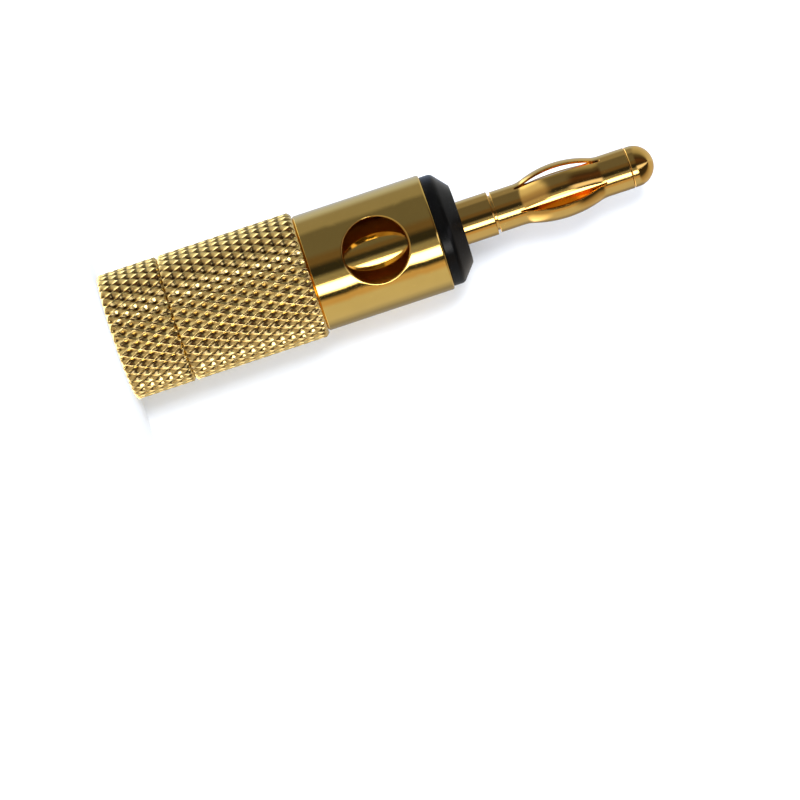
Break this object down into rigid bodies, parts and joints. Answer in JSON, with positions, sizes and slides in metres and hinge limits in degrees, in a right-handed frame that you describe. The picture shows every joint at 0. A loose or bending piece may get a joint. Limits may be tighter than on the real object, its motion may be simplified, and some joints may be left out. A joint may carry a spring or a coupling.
{
  "type": "banana plug",
  "caption": "Screw-clamp banana plug: domed pin with a bulged spring cage, smooth barrel with a side wire hole, and a diamond-knurled clamp screw and end cap.",
  "frame": {"origin": "centre of the flat rear face of the end cap", "axes": "+Z along the plug's axis from the rear face to the pin's tip; the side wire hole faces -Y"},
  "size_m": [0.01, 0.01, 0.0433],
  "materials": {
    "plated_knurl": "knurled brass with bright gold plating",
    "plated_smooth": "polished gold plating",
    "black_plastic": "moulded black plastic, semi-gloss"
  },
  "bodies": {
    "barrel": {"barrel": "plated_smooth", "color_ring": "black_plastic", "contact_pin": "plated_smooth"},
    "clamp_screw": {"clamp_screw": "plated_knurl"},
    "end_cap": {"end_cap": "plated_knurl"},
    "spring_cage": {"spring_cage": "plated_smooth"}
  },
  "joints": [
    {"name": "clamp_screw_travel", "type": "slide", "parent": "barrel", "child": "clamp_screw", "axis": [0, 0, -1], "range_m": [0, 0.0057]},
    {"name": "end_cap_travel", "type": "slide", "parent": "clamp_screw", "child": "end_cap", "axis": [0, 0, -1], "range_m": [0, 0.0028]},
    {"name": "spring_cage_spin", "type": "hinge", "parent": "barrel", "child": "spring_cage", "pos_m": [0, 0, 0.03585], "axis": [0, 0, 1], "continuous": true}
  ]
}
